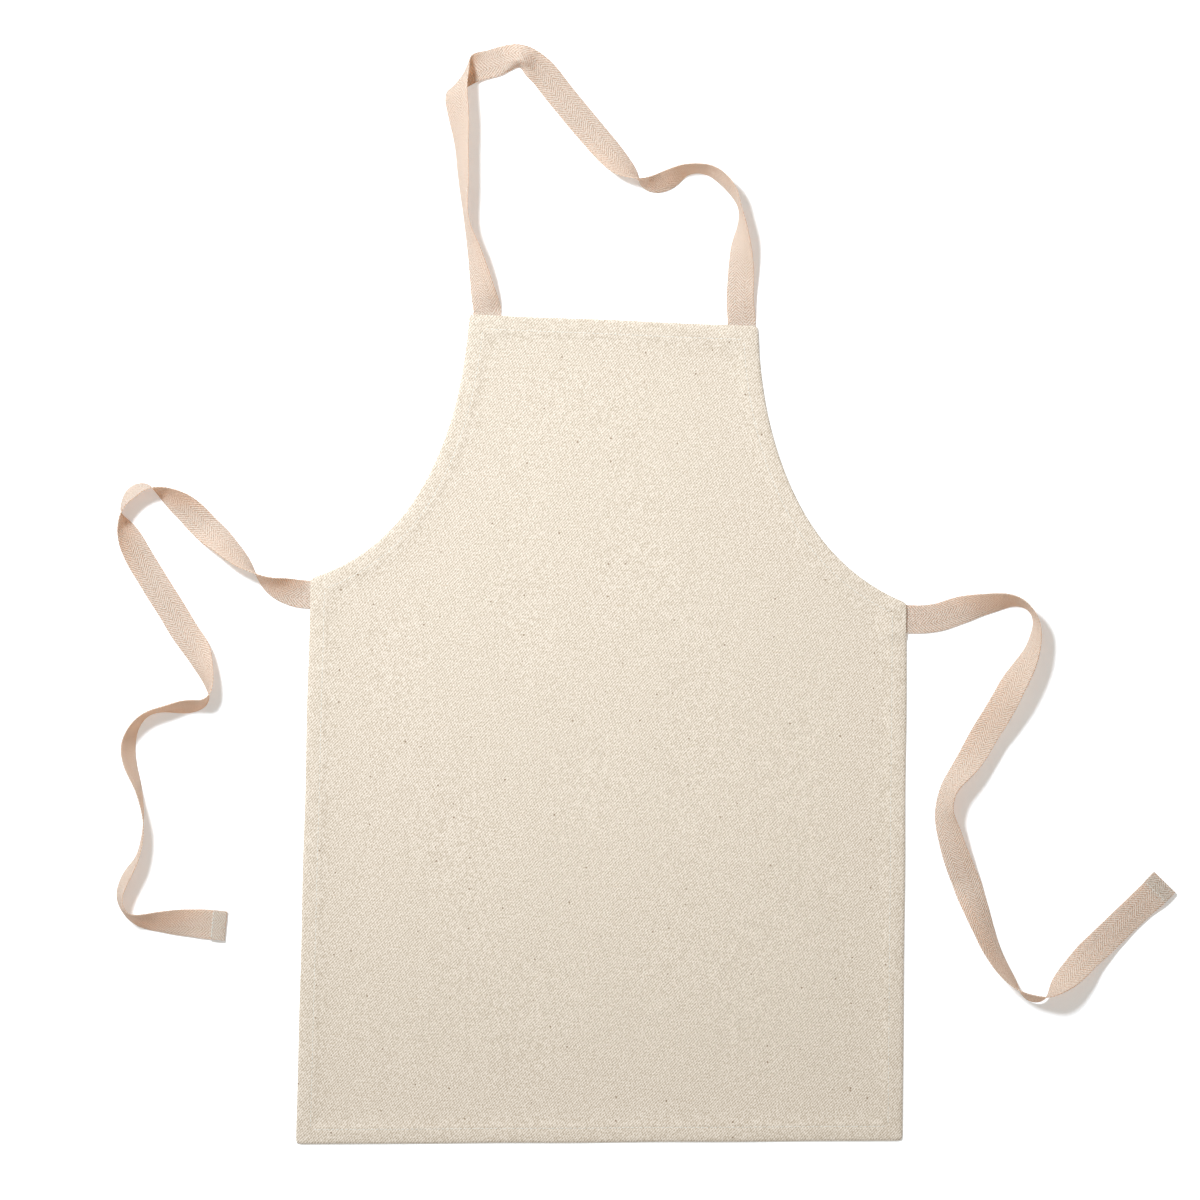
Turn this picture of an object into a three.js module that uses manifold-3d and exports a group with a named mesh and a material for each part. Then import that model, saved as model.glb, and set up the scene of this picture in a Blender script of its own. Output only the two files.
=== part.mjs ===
// Child's artist smock apron, laid out flat: a hemmed cotton twill panel, a neck strap and two
// waist ties of herringbone tape caught in the hems, and the sewing threads of every seam.
// Millimetres, +Z up, +Y towards the bib. The apron lies face up on the plane z = 0, and the
// origin is the middle of the panel's footprint.
import * as THREE from "three";
import { mergeVertices } from "three/addons/utils/BufferGeometryUtils.js";
import Module from "manifold-3d";

// ---- Panel: the cut shape, measured up from the hemline -------------------------------------
const BIB_WIDTH = 196;
const UNDERARM_WIDTH = 405.5;
const HEMLINE_WIDTH = 412;
const PANEL_LENGTH = 559;
const UNDERARM_HEIGHT = 375;
const ARMHOLE_TOP_REACH = 79; // how far down from the bib corner the armhole stays upright
const ARMHOLE_TOP_SPREAD = 4;
const ARMHOLE_SIDE_REACH = 73; // how far in from the underarm corner the armhole stays level
const ARMHOLE_SIDE_RISE = 25;
const ARMHOLE_STEPS = 14;
const LAY_SKEW = THREE.MathUtils.degToRad(1.36); // the cloth lies a little off square

// ---- Cloth, tape, thread --------------------------------------------------------------------
const CLOTH_THICKNESS = 0.85;
const HEM_THICKNESS = 2.6; // three layers, loosely pressed
const HEM_DEPTH = 11.5;
const STITCH_INSET = 9.7; // seam line, in from the folded edge
const TAPE_WIDTH = 19;
const TAPE_THICKNESS = 0.8;
const TAPE_CAUGHT = 11; // length of tape end inside a hem
const TIE_HEM_LENGTH = 11;
const TIE_HEM_THICKNESS = 2.4; // three layers of tape
const TIE_SEAM_INSET = 9.3;
const TIE_SEAM_MARGIN = 1; // the cross seam stops short of the tape's edges
const THREAD_WIDTH = 0.8;
const THREAD_THICKNESS = 0.3;
const GAP = 0.3; // clearance between pieces that touch on the real apron
const TAPE_STEPS = 104; // steps along each tape
const TAPE_COLUMNS = 4; // steps across it, so that its two faces stay apart where it twists
const STRAIGHT_EXIT = 3; // how far a tape keeps square to the hem it leaves

// ---- Where the middle of each tape leaves the panel, along the edge from the nearer corner ---
const NECK_LEFT_FROM_CORNER = 12;
const NECK_RIGHT_FROM_CORNER = 11;
const TIE_FROM_CORNER = 10.9;

// ---- Heights that follow from what lies on what ---------------------------------------------
const TAB_MIDDLE = THREAD_THICKNESS + GAP + TAPE_THICKNESS / 2; // over the bobbin thread
const TIE_END_MIDDLE = THREAD_THICKNESS + 2 * GAP + TIE_HEM_THICKNESS / 2;
const RECESS_HEIGHT = TAB_MIDDLE + TAPE_THICKNESS / 2 + GAP;
const GROOVE_DEPTH = THREAD_THICKNESS + GAP;
const GROOVE_HALF = THREAD_WIDTH / 2 + GAP;

const clothFinish = { color: 0xf1eada, roughness: 0.93, metalness: 0 };
const tapeFinish = { color: 0xf0dcc6, roughness: 0.9, metalness: 0 };
const threadFinish = { color: 0xf7f3ea, roughness: 0.7, metalness: 0 };

// ---- Tape routes, from where each tape leaves its hem: x and y from that place, z of the middle
// ---- of the tape, its roll about its own run in degrees and, at a diagonal fold, how far the
// ---- fold line leans from square. The neck strap's last point is where it enters the hem again.
const NECK_ROUTE = [
  [-3, 17, 5.3, -31], [-9, 42.5, 8.8, -60], [-15, 65, 9.8, -80], [-17.5, 93, 10.1, -67],
  [-19, 114.5, 10.8, -60], [-21.5, 135.5, 12.5, -41], [-23, 147, 13.6, -34, -12],
  [-21.5, 157.5, 9.5, -90, -45], [-16, 162.5, 5, -160, -30], [-9, 167.5, 2.2, -180, -8],
  [0, 170.5, 2, -182], [10, 174, 3.4, -188], [19, 175, 5.2, -190], [27.5, 171, 4.6, -184],
  [35, 165, 2.2, -180], [43.5, 154.5, 0.9, -180], [55.5, 140.5, 0.8, -180],
  [68.5, 125.5, 1.2, -183], [82, 110.5, 3.6, -199], [92, 100, 7, -225], [100.5, 93.5, 9.8, -265],
  [108.5, 91, 8.7, -300], [117, 91.5, 7.4, -313], [124.5, 95.5, 8, -308], [130.5, 99.5, 9, -295],
  [139, 101.5, 9.6, -286], [149.5, 100.5, 9.5, -288], [157.5, 95.5, 9.4, -291],
  [166, 86, 9.6, -285], [170.5, 75.5, 9.9, -274], [172.5, 62, 9.3, -290], [172, 48, 7.2, -314],
  [172, 30, 5, -331], [172, 12.5, 2.4, -348],
];
const LEFT_TIE_ROUTE = [
  [-8.5, 0.5, 1.9, -9], [-16.5, 2.5, 4, -23], [-23.5, 5, 6.9, -43], [-30.5, 8.5, 9.3, -68],
  [-37, 13, 9.9, -88], [-47, 22, 8.4, -122], [-59.5, 33.5, 5.7, -146], [-72.5, 44.5, 1.4, -174],
  [-83.5, 55.5, 3, -196], [-91, 61.5, 5.8, -215], [-97.5, 66, 8.2, -235],
  [-105, 69.5, 9.6, -258], [-111.5, 71, 9.7, -281], [-120.5, 68, 8.6, -300],
  [-126.5, 60.5, 9.5, -286], [-129.5, 52, 9.8, -272], [-127, 43.5, 8.3, -238],
  [-122, 33.5, 5.2, -209], [-114, 18.5, 2, -190], [-103.5, 2.5, 0.9, -180],
  [-85, -26.5, 1.4, -176], [-75, -41, 3.6, -160], [-69.5, -53, 7.8, -128],
  [-66.5, -65.5, 9.8, -102], [-68.5, -73, 9.6, -74], [-74.5, -75.5, 8.2, -56],
  [-85.5, -78, 8.9, -63], [-97, -79.5, 9.6, -78], [-109, -83, 9.8, -92],
  [-117.5, -92, 9.6, -105], [-121.5, -105, 8.9, -116], [-119.5, -118.5, 9, -115],
  [-113.5, -135.5, 9.6, -103], [-110, -158.5, 9.8, -96], [-113.5, -180.5, 9.7, -100],
  [-121, -194, 9.2, -111], [-125.5, -208, 9.6, -106], [-120.5, -219.5, 9.8, -101],
  [-109.5, -223.5, 8.4, -122], [-95, -224, 6.4, -142], [-80, -224.5, 3.4, -165],
  [-65.5, -225.5, TIE_END_MIDDLE, -180], [-53, -226.5, TIE_END_MIDDLE, -180],
];
const RIGHT_TIE_ROUTE = [
  [10.5, 0, 1, 0], [23, 2, 1.4, 4], [35.5, 6.5, 2.6, 12], [47.5, 10, 6, 35], [60, 12.5, 7.7, 50],
  [69.5, 14, 8.8, 63], [77.5, 12.5, 9.5, 76], [84.5, 7, 9.8, 85], [88, -1, 9.8, 80],
  [87.5, -10.5, 9.6, 70], [85.5, -18.5, 10, 63], [81, -28.5, 11.5, 47], [72.5, -43.5, 14.5, 24],
  [63.5, -60.5, 13.2, 12], [54, -77, 10.8, 12], [45.5, -92.5, 9.4, 24], [37.5, -104, 10, 44],
  [31, -113, 10.2, 55], [28, -123, 9.6, 57], [27.5, -131, 8.6, 52], [30.5, -142.5, 6.6, 37],
  [37, -162.5, 3.6, 19], [44, -179, 1.4, 4], [49.5, -194, 4, -22], [55, -208.5, 6.5, -39],
  [61.5, -223.5, 8, -51], [68.5, -235.5, 9, -61], [76.5, -246, 10.2, -75],
  [82.5, -252.5, 11.2, -96], [89.5, -256, 11.4, -108], [96.5, -256, 12, -103],
  [102.5, -252.5, 12.2, -80], [107.5, -247, 11.2, -56], [116, -238.5, 8.6, -33],
  [125.5, -228, 5, -19], [137.5, -216.5, 2.2, -8], [147.5, -206.5, 1.2, -4],
  [159, -195.5, 1.2, 0], [169.5, -185, TIE_END_MIDDLE, 0], [178.5, -175.5, TIE_END_MIDDLE, 0],
];

// ---- The panel's edge -----------------------------------------------------------------------
const half = (width) => width / 2;

// Where a point of the cut shape lies, with the slight skew of the cloth as it is laid.
function layPoint(x, height) {
  const lean = 1 - 2 * Math.min(height / UNDERARM_HEIGHT, 1);
  return new THREE.Vector2(x, height + x * Math.tan(LAY_SKEW) * lean);
}

const corners = {
  hemLeft: layPoint(-half(HEMLINE_WIDTH), 0),
  hemRight: layPoint(half(HEMLINE_WIDTH), 0),
  armRight: layPoint(half(UNDERARM_WIDTH), UNDERARM_HEIGHT),
  armLeft: layPoint(-half(UNDERARM_WIDTH), UNDERARM_HEIGHT),
  bibRight: layPoint(half(BIB_WIDTH), PANEL_LENGTH),
  bibLeft: layPoint(-half(BIB_WIDTH), PANEL_LENGTH),
};
const footprint = new THREE.Box2().setFromPoints(Object.values(corners));
const middle = footprint.getCenter(new THREE.Vector2());
Object.values(corners).forEach((corner) => corner.sub(middle));

// The armhole on one side: +1 is the right, from the underarm corner up to the bib corner.
function armholePoints(side) {
  const curve = new THREE.CubicBezierCurve(
    new THREE.Vector2(side * half(UNDERARM_WIDTH), UNDERARM_HEIGHT),
    new THREE.Vector2(side * (half(UNDERARM_WIDTH) - ARMHOLE_SIDE_REACH),
      UNDERARM_HEIGHT + ARMHOLE_SIDE_RISE),
    new THREE.Vector2(side * (half(BIB_WIDTH) + ARMHOLE_TOP_SPREAD),
      PANEL_LENGTH - ARMHOLE_TOP_REACH),
    new THREE.Vector2(side * half(BIB_WIDTH), PANEL_LENGTH),
  );
  return curve.getPoints(ARMHOLE_STEPS).map((point) => layPoint(point.x, point.y).sub(middle));
}

// Each edge runs anticlockwise from its own first corner; its last corner begins the next edge.
const edges = [
  { name: "bottom_hem", points: [corners.hemLeft] },
  { name: "right_side_hem", points: [corners.hemRight] },
  { name: "right_armhole_hem", points: armholePoints(1).slice(0, -1) },
  { name: "top_hem", points: [corners.bibRight] },
  { name: "left_armhole_hem", points: armholePoints(-1).reverse().slice(0, -1) },
  { name: "left_side_hem", points: [corners.armLeft] },
];
const outline = edges.flatMap((edge) => {
  edge.stations = edge.points.map((point) => ({ point }));
  return edge.stations;
});

// Where a tape leaves an edge: the place, and the direction square to the edge and outwards.
function tapeExit(corner, otherCorner, distance, side) {
  const along = otherCorner.clone().sub(corner).normalize();
  const place = corner.clone().addScaledVector(along, distance);
  return { place, outward: new THREE.Vector2(-along.y, along.x).multiplyScalar(side) };
}
const exits = {
  neckLeft: tapeExit(corners.bibLeft, corners.bibRight, NECK_LEFT_FROM_CORNER, 1),
  neckRight: tapeExit(corners.bibRight, corners.bibLeft, NECK_RIGHT_FROM_CORNER, -1),
  leftTie: tapeExit(corners.armLeft, corners.hemLeft, TIE_FROM_CORNER, -1),
  rightTie: tapeExit(corners.armRight, corners.hemRight, TIE_FROM_CORNER, 1),
};

// The inward step at each station, longer at a corner so that every edge moves in evenly.
outline.forEach((station, index) => {
  const before = outline.at(index - 1).point;
  const after = outline[(index + 1) % outline.length].point;
  const arriving = station.point.clone().sub(before).normalize();
  const leaving = after.clone().sub(station.point).normalize();
  const inward = new THREE.Vector2(-arriving.y - leaving.y, arriving.x + leaving.x).normalize();
  const facing = new THREE.Vector2(-leaving.y, leaving.x);
  station.inward = inward.divideScalar(inward.dot(facing));
});

function inset(station, distance) {
  return station.point.clone().addScaledVector(station.inward, distance);
}

// ---- Panel ----------------------------------------------------------------------------------
// The section of the hem, from the underside round the edge to the face: how far in each point
// lies, and its height.
const grooveOuter = STITCH_INSET - GROOVE_HALF;
const grooveInner = STITCH_INSET + GROOVE_HALF;
const hemSection = [
  [grooveInner, 0],
  [grooveInner, GROOVE_DEPTH],
  [grooveOuter, GROOVE_DEPTH],
  [grooveOuter, 0],
  [0, 0],
  [0, HEM_THICKNESS],
  [grooveOuter, HEM_THICKNESS],
  [grooveOuter, HEM_THICKNESS - GROOVE_DEPTH],
  [grooveInner, HEM_THICKNESS - GROOVE_DEPTH],
  [grooveInner, HEM_THICKNESS],
  [HEM_DEPTH, HEM_THICKNESS],
  [HEM_DEPTH, CLOTH_THICKNESS],
];

// A lathe turned from the hem section, whose circles are carried onto the panel's outline.
function panelGeometry() {
  const section = hemSection.map(([distance, height]) => new THREE.Vector2(1, height));
  const axisPoints = [new THREE.Vector2(0, 0), new THREE.Vector2(0, CLOTH_THICKNESS)];
  const profile = [axisPoints[0], ...section, axisPoints[1]];
  const geometry = new THREE.LatheGeometry(profile, outline.length);
  const position = geometry.attributes.position;
  for (let index = 0; index < position.count; index += 1) {
    const station = outline[Math.floor(index / profile.length) % outline.length];
    const row = index % profile.length;
    const entry = hemSection[row - 1];
    const place = entry ? inset(station, entry[0]) : new THREE.Vector2(0, 0);
    position.setXYZ(index, place.x, place.y, profile[row].y);
  }
  return geometry;
}

const wasm = await Module();
wasm.setup();

function toSolid(geometry) {
  const bare = geometry.clone();
  bare.deleteAttribute("normal");
  bare.deleteAttribute("uv");
  const merged = mergeVertices(bare, 1e-4);
  return new wasm.Manifold(new wasm.Mesh({
    numProp: 3,
    vertProperties: merged.attributes.position.array,
    triVerts: Uint32Array.from(merged.index.array),
  }));
}
function toGeometry(solid) {
  const mesh = solid.getMesh();
  const geometry = new THREE.BufferGeometry();
  geometry.setAttribute("position", new THREE.BufferAttribute(mesh.vertProperties, 3));
  geometry.setIndex(new THREE.BufferAttribute(mesh.triVerts, 1));
  return geometry;
}

// The room under a hem for a caught tape end: it is open below and at the folded edge.
function recessGeometry({ place, outward }) {
  const overlap = 1;
  const depth = TAPE_CAUGHT + GAP + overlap;
  const height = RECESS_HEIGHT + overlap;
  const geometry = new THREE.BoxGeometry(depth, TAPE_WIDTH + 2 * GAP, height);
  geometry.translate(overlap - depth / 2, 0, RECESS_HEIGHT - height / 2);
  geometry.rotateZ(outward.angle());
  geometry.translate(place.x, place.y, 0);
  return geometry;
}
function panelWithRecesses() {
  const cut = Object.values(exits)
    .reduce((panel, exit) => panel.subtract(toSolid(recessGeometry(exit))), toSolid(panelGeometry()));
  return toGeometry(cut);
}

// ---- Sewing threads -------------------------------------------------------------------------
// A plain strip along one edge's seam line, ending clear of its neighbours at the corners.
function seamGeometry(edge, nextEdge, height) {
  const stations = [...edge.stations, nextEdge.stations[0]];
  const steps = stations.length - 1;
  const geometry = new THREE.BoxGeometry(1, THREAD_WIDTH, THREAD_THICKNESS, steps, 1, 1);
  const position = geometry.attributes.position;
  for (let index = 0; index < position.count; index += 1) {
    const step = Math.round((position.getX(index) + 0.5) * steps);
    const distance = STITCH_INSET + position.getY(index);
    const place = inset(stations[step], distance);
    if (step === 0 || step === steps) {
      const neighbour = inset(stations[step === 0 ? 1 : steps - 1], distance);
      place.add(neighbour.sub(place).setLength(2 * GAP));
    }
    position.setXYZ(index, place.x, place.y, height + position.getZ(index));
  }
  return geometry;
}
const NEEDLE_HEIGHT = HEM_THICKNESS - THREAD_THICKNESS / 2;
const BOBBIN_HEIGHT = THREAD_THICKNESS / 2;

// ---- Tapes ----------------------------------------------------------------------------------
function pathThrough(points) {
  const path = new THREE.CatmullRomCurve3(points.map(([x, y, z]) => new THREE.Vector3(x, y, z)));
  path.arcLengthDivisions = 1200;
  return path;
}

// A route answers, for a share of its length, with the tape's centre, width and face directions.
// However a tape is rolled, it lies on the surface z = 0 and doesn't sink into it.
function tapeRoute(points) {
  const path = pathThrough(points);
  const turns = new THREE.CatmullRomCurve3(
    points.map(([, , , roll, lean = 0]) => new THREE.Vector3(roll, lean, 0)), false, "catmullrom");
  const up = new THREE.Vector3(0, 0, 1);
  return (share) => {
    const stretch = path.getUtoTmapping(share);
    const centre = path.getPoint(stretch);
    const along = path.getTangent(stretch);
    const turn = turns.getPoint(stretch);
    const roll = THREE.MathUtils.degToRad(turn.x);
    const lean = THREE.MathUtils.degToRad(turn.y);
    const level = new THREE.Vector3().crossVectors(up, along).normalize();
    const raised = new THREE.Vector3().crossVectors(along, level);
    const square = level.multiplyScalar(Math.cos(roll)).addScaledVector(raised, Math.sin(roll));
    const face = new THREE.Vector3().crossVectors(along, square);
    const across = square.addScaledVector(along, Math.tan(lean));
    const restHeight = (Math.abs(across.z) * TAPE_WIDTH + Math.abs(face.z) * TAPE_THICKNESS) / 2;
    centre.z = Math.max(centre.z, restHeight);
    return { centre, across, face };
  };
}

// A bar whose cross-sections are carried along a route, thicker where `layers` says so.
function tapeGeometry(points, shares, thickness = () => TAPE_THICKNESS) {
  const route = tapeRoute(points);
  const frames = shares.map((share) => route(share));
  const steps = shares.length - 1;
  const geometry = new THREE.BoxGeometry(1, TAPE_WIDTH, 1, steps, TAPE_COLUMNS, 1);
  const position = geometry.attributes.position;
  const point = new THREE.Vector3();
  for (let index = 0; index < position.count; index += 1) {
    point.fromBufferAttribute(position, index);
    const step = Math.round((point.x + 0.5) * steps);
    const { centre, across, face } = frames[step];
    const place = centre.clone().addScaledVector(across, point.y)
      .addScaledVector(face, point.z * thickness(step));
    position.setXYZ(index, place.x, place.y, place.z);
  }
  return geometry;
}

// The first points of a tape: it leaves the folded edge level, square, at the caught height.
function exitPoints({ place, outward }, roll) {
  return [0, STRAIGHT_EXIT].map((reach) => {
    const point = place.clone().addScaledVector(outward, reach);
    return [point.x, point.y, TAB_MIDDLE, roll];
  });
}
function placedRoute(exit, route) {
  const { place } = exit;
  return [
    ...exitPoints(exit, 0),
    ...route.map(([x, y, ...rest]) => [place.x + x, place.y + y, ...rest]),
  ];
}
const lengthOf = (points) => pathThrough(points).getLength();

// The neck strap: both ends enter the top hem, after one full turn of twist.
function neckStrapGeometry() {
  const points = [
    ...placedRoute(exits.neckLeft, NECK_ROUTE),
    ...exitPoints(exits.neckRight, -360).reverse(),
  ];
  const pull = GAP / 2 / lengthOf(points);
  const shares = Array.from({ length: TAPE_STEPS + 1 }, (_, step) => step / TAPE_STEPS);
  shares[0] = pull;
  shares[TAPE_STEPS] = 1 - pull;
  return tapeGeometry(points, shares);
}

// A waist tie: its free end is folded over twice into a short hem.
function tieGeometry(exit, route) {
  const points = placedRoute(exit, route);
  const length = lengthOf(points);
  const hemShare = 1 - TIE_HEM_LENGTH / length;
  const shares = Array.from({ length: TAPE_STEPS + 1 }, (_, step) => (hemShare * step) / TAPE_STEPS);
  shares[0] = GAP / 2 / length;
  shares.push(hemShare + GAP / length, 1);
  return tapeGeometry(points, shares,
    (step) => (step > TAPE_STEPS ? TIE_HEM_THICKNESS : TAPE_THICKNESS));
}

// One of the two threads across a tie's end hem: over its upper side (+1) or under it (-1).
function tieSeamGeometry(exit, route, side) {
  const points = placedRoute(exit, route);
  const share = 1 - TIE_SEAM_INSET / lengthOf(points);
  const { centre, across } = tapeRoute(points)(share);
  const geometry = new THREE.BoxGeometry(
    TAPE_WIDTH - 2 * TIE_SEAM_MARGIN, THREAD_WIDTH, THREAD_THICKNESS);
  geometry.rotateZ(new THREE.Vector2(across.x, across.y).angle());
  const reach = TIE_HEM_THICKNESS / 2 + GAP + THREAD_THICKNESS / 2;
  geometry.translate(centre.x, centre.y, centre.z + side * reach);
  return geometry;
}

// The short end of a tape that lies caught inside a hem, up to the folded edge.
function caughtEndGeometry({ place, outward }) {
  const geometry = new THREE.BoxGeometry(TAPE_CAUGHT - GAP / 2, TAPE_WIDTH, TAPE_THICKNESS);
  geometry.translate(-(TAPE_CAUGHT + GAP / 2) / 2, 0, TAB_MIDDLE);
  geometry.rotateZ(outward.angle());
  geometry.translate(place.x, place.y, 0);
  return geometry;
}

// ---- Assembly -------------------------------------------------------------------------------
const apron = new THREE.Group();
function addPiece(name, geometry, finish) {
  const piece = new THREE.Mesh(geometry, new THREE.MeshStandardMaterial(finish));
  piece.name = name;
  apron.add(piece);
}

addPiece("apron_panel", panelWithRecesses(), clothFinish);
edges.forEach((edge, index) => {
  const nextEdge = edges[(index + 1) % edges.length];
  const seam = (height) => seamGeometry(edge, nextEdge, height);
  addPiece(`${edge.name}_needle_thread`, seam(NEEDLE_HEIGHT), threadFinish);
  addPiece(`${edge.name}_bobbin_thread`, seam(BOBBIN_HEIGHT), threadFinish);
});

addPiece("neck_strap", neckStrapGeometry(), tapeFinish);
addPiece("neck_strap_left_end", caughtEndGeometry(exits.neckLeft), tapeFinish);
addPiece("neck_strap_right_end", caughtEndGeometry(exits.neckRight), tapeFinish);

[
  ["left_tie", exits.leftTie, LEFT_TIE_ROUTE],
  ["right_tie", exits.rightTie, RIGHT_TIE_ROUTE],
].forEach(([name, exit, route]) => {
  addPiece(name, tieGeometry(exit, route), tapeFinish);
  addPiece(`${name}_sewn_end`, caughtEndGeometry(exit), tapeFinish);
  addPiece(`${name}_hem_needle_thread`, tieSeamGeometry(exit, route, 1), threadFinish);
  addPiece(`${name}_hem_bobbin_thread`, tieSeamGeometry(exit, route, -1), threadFinish);
});

export default apron;
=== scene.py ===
# %% [markdown]
# # A child's artist smock apron, laid out flat
#
# The real apron is one hemmed panel of natural cotton twill, three lengths of herringbone tape
# and the threads that hold it all together. The engineered model gives every size and place. This
# notebook gives the cloth its thickness, its weave and its stitches, and lays the tapes out as they
# curl. Everything is in metres, +Z up, with the bib towards +Y.

# %% Load the engineered model as a fixed frame
import math

import bmesh
import bpy
import numpy as np
from mathutils import Matrix, Vector


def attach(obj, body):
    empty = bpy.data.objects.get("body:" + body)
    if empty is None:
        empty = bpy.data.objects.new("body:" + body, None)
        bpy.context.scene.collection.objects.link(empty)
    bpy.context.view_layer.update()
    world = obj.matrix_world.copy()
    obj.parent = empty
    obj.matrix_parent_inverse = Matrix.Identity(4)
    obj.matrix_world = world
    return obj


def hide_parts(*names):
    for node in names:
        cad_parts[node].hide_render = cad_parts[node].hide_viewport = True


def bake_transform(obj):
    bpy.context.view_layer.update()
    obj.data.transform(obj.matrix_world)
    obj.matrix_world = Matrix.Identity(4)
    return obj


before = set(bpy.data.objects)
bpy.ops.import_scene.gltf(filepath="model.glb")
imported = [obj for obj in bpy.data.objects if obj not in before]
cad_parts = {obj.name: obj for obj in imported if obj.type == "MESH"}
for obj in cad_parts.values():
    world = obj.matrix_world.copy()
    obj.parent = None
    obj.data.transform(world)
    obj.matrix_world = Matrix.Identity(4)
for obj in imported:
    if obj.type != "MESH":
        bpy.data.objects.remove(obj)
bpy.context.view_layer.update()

# %% [markdown]
# ## The view
#
# The apron is seen from straight above through a long lens, so that nothing looks nearer than
# anything else. The camera is turned by a degree, because the apron doesn't lie quite square.

# %% Camera
MM = 0.001
VIEW_WIDTH = 0.816
VIEW_DISTANCE = 4.0
VIEW_MIDDLE = (-0.0058, 0.0903)
VIEW_TURN = math.radians(1.01)

camera_data = bpy.data.cameras.new("view_from_above")
camera_data.sensor_width = 36
camera_data.lens = camera_data.sensor_width * VIEW_DISTANCE / VIEW_WIDTH
camera = bpy.data.objects.new("view_from_above", camera_data)
camera.location = (*VIEW_MIDDLE, VIEW_DISTANCE)
camera.rotation_euler = (0, 0, VIEW_TURN)
bpy.context.scene.collection.objects.link(camera)
bpy.context.scene.camera = camera
print("lens", round(camera_data.lens), "mm")

# %% [markdown]
# ## The surface and the light
#
# A white table fills the view. The main light is a soft box up to the left, high enough to leave
# short shadows. It is narrow enough to fade towards the hemline. The room adds a weaker, warmer
# light from all sides, and the table glows a little so that it stays white at the far corners.

# %% Table and lights
TABLE_SIZE = 6.0
TABLE_DROP = 0.2 * MM
TABLE_WHITE = 0.95
LIGHT_DIRECTION = (-0.45, 0.47, 1.0)
LIGHT_AIM = (-0.02, 0.13, 0.0)
LIGHT_DISTANCE = 2.3
LIGHT_SIZE = 0.42
LIGHT_SPREAD = math.radians(80)
LIGHT_POWER = 11.4
LIGHT_COLOUR = (1.0, 1.08, 1.17)
ROOM_LIGHT = 0.37
ROOM_COLOUR = (1.0, 0.965, 0.89)
TABLE_GLOW = 0.22

bpy.ops.mesh.primitive_plane_add(size=TABLE_SIZE, location=(0, 0, -TABLE_DROP))
table = bpy.context.object
table.name = "white_table"
table_paint = bpy.data.materials.new("white_paint")
table_paint.use_nodes = True
table_shader = table_paint.node_tree.nodes["Principled BSDF"]
table_shader.inputs["Base Color"].default_value = (*[TABLE_WHITE] * 3, 1)
table_shader.inputs["Roughness"].default_value = 1.0
table_shader.inputs["Specular IOR Level"].default_value = 0.0
table_shader.inputs["Emission Color"].default_value = (1, 1, 1, 1)
table_shader.inputs["Emission Strength"].default_value = TABLE_GLOW
table.data.materials.append(table_paint)

key_data = bpy.data.lights.new("soft_box", "AREA")
key_data.shape = "DISK"
key_data.size = LIGHT_SIZE
key_data.energy = LIGHT_POWER
key_data.spread = LIGHT_SPREAD
key_data.color = LIGHT_COLOUR
key = bpy.data.objects.new("soft_box", key_data)
towards_light = np.array(LIGHT_DIRECTION) / np.linalg.norm(LIGHT_DIRECTION)
key.location = np.array(LIGHT_AIM) + towards_light * LIGHT_DISTANCE
key.rotation_euler = Vector(towards_light).to_track_quat("Z", "Y").to_euler()
bpy.context.scene.collection.objects.link(key)

room = bpy.data.worlds.new("white_room")
room.use_nodes = True
room.node_tree.nodes["Background"].inputs["Color"].default_value = (*ROOM_COLOUR, 1)
room.node_tree.nodes["Background"].inputs["Strength"].default_value = ROOM_LIGHT
bpy.context.scene.world = room
bpy.context.scene.view_settings.view_transform = "Standard"
bpy.context.scene.view_settings.look = "None"

# %% [markdown]
# ## Cloth from a carried grid
#
# Every cloth piece here starts as one flat grid, which keeps its rows and columns while each of its
# points is carried to its place, as a piece of real cloth keeps its threads. Welding the points
# that meet then closes a ring or a tip. The grid's own map is kept, stretched to real metres.

# %% A grid carried into place
def carried_grid(name, places, across, along):
    """A mesh object from places[row][column], with a map of its columns and rows in metres."""
    rows, columns = places.shape[0] - 1, places.shape[1] - 1
    bm = bmesh.new()
    bmesh.ops.create_grid(bm, x_segments=columns, y_segments=rows, size=1)
    seat = {v: (round((v.co.y + 1) / 2 * rows), round((v.co.x + 1) / 2 * columns))
            for v in bm.verts}
    cloth_map = bm.loops.layers.uv.new("cloth")
    for face in bm.faces:
        face.smooth = True
        for loop in face.loops:
            row, column = seat[loop.vert]
            loop[cloth_map].uv = (across[column], along[row])
    for vertex, (row, column) in seat.items():
        vertex.co = places[row, column]
    bmesh.ops.remove_doubles(bm, verts=bm.verts, dist=1e-7)
    return shown(name, bm)


def shown(name, bm):
    """The finished bmesh as an object at the origin."""
    mesh = bpy.data.meshes.new(name)
    bm.to_mesh(mesh)
    bm.free()
    made = bpy.data.objects.new(name, mesh)
    bpy.context.scene.collection.objects.link(made)
    return made


def reach_along(points):
    """The distance from the first point to each point, along the line through them."""
    return np.concatenate([[0], np.cumsum(np.linalg.norm(np.diff(points, axis=0), axis=1))])


def eased(value, start, end):
    """0 before start, 1 after end, and smooth between."""
    share = np.clip((value - start) / (end - start), 0, 1)
    return share * share * (3 - 2 * share)


def ripples(x, y, lengths, seed):
    """Soft uneven waves of about the given lengths, from -1 to 1."""
    draw = np.random.default_rng(seed)
    total = 0
    for length in lengths:
        turn, shift = draw.uniform(0, math.pi), draw.uniform(0, 2 * math.pi)
        across_waves = x * math.cos(turn) + y * math.sin(turn)
        total = total + np.sin(2 * math.pi * across_waves / length + shift)
    return total / len(lengths)


# %% [markdown]
# ## The edge of the panel
#
# The panel's cut shape has four straight hems and two curved armholes. It is worked out once, as
# stations that run anticlockwise, and the hems, the cloth and the stitches all read them.

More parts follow.
